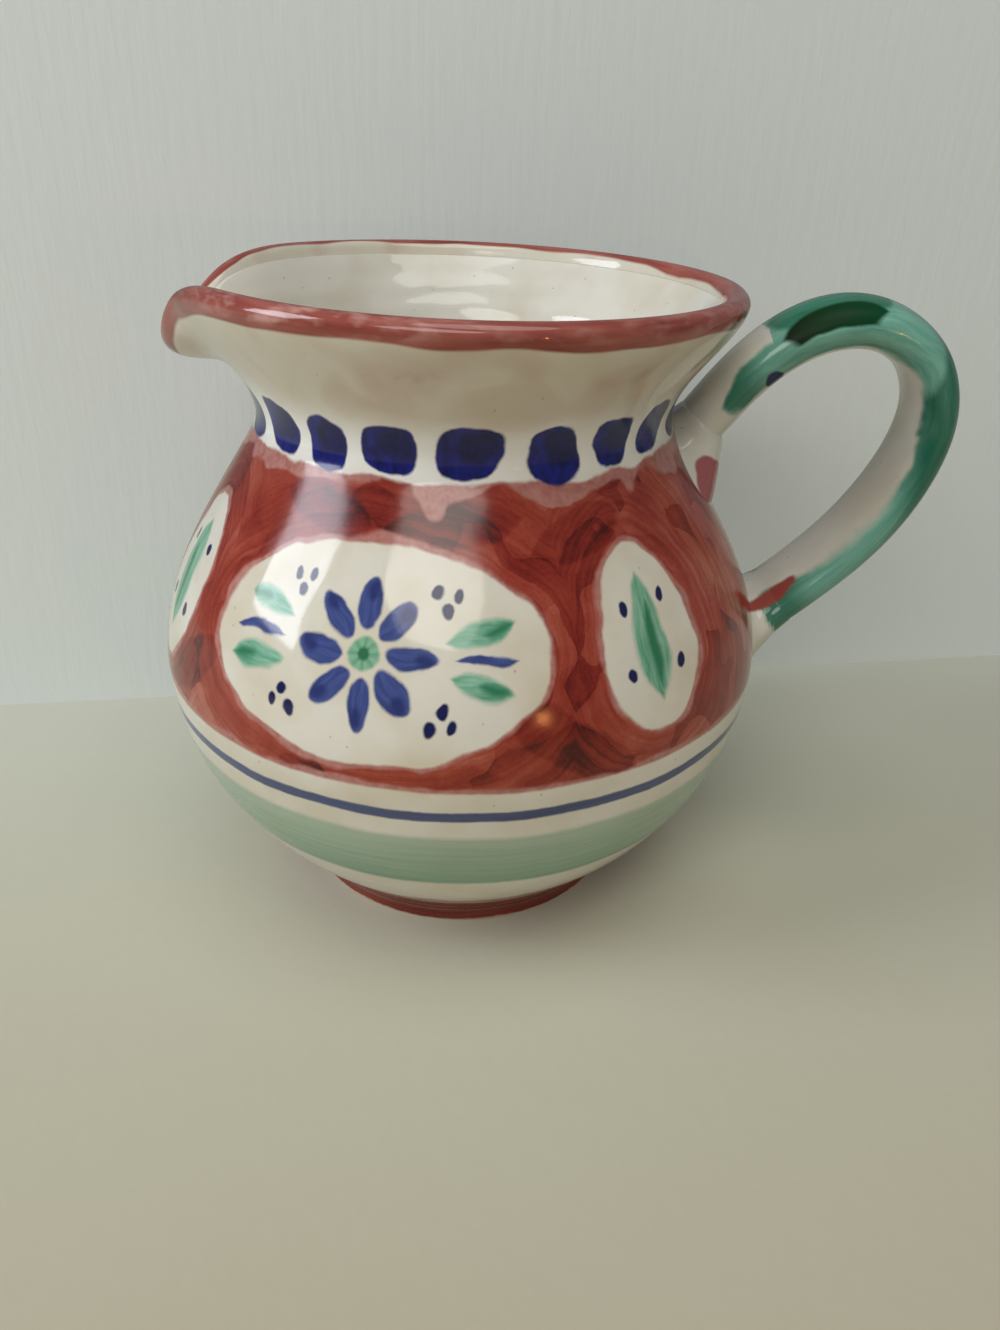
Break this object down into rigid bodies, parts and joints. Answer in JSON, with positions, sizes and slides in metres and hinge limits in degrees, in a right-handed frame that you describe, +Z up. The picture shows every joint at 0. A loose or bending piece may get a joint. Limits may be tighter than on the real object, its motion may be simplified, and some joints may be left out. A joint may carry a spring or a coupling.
{
  "type": "pitcher",
  "caption": "Round-bellied glazed earthenware pitcher with a waisted neck, a flared lip with a pulled spout, and a strap handle opposite the spout.",
  "frame": {"origin": "on the body's turning axis, in the plane of the foot ring's standing face", "axes": "+Z up along the body's turning axis, +X from the spout towards the handle"},
  "size_m": [0.1916, 0.1499, 0.1527],
  "materials": {
    "painted_glaze": "gloss",
    "dark_red_glaze": "gloss",
    "green_glaze": "gloss",
    "white_glaze": "gloss",
    "cream_glaze": "gloss"
  },
  "bodies": {
    "root": {"body": "painted_glaze", "foot_ring": "dark_red_glaze", "handle": "green_glaze", "upper_joint": "white_glaze", "lower_joint": "white_glaze", "glaze_lining": "cream_glaze"}
  },
  "joints": []
}
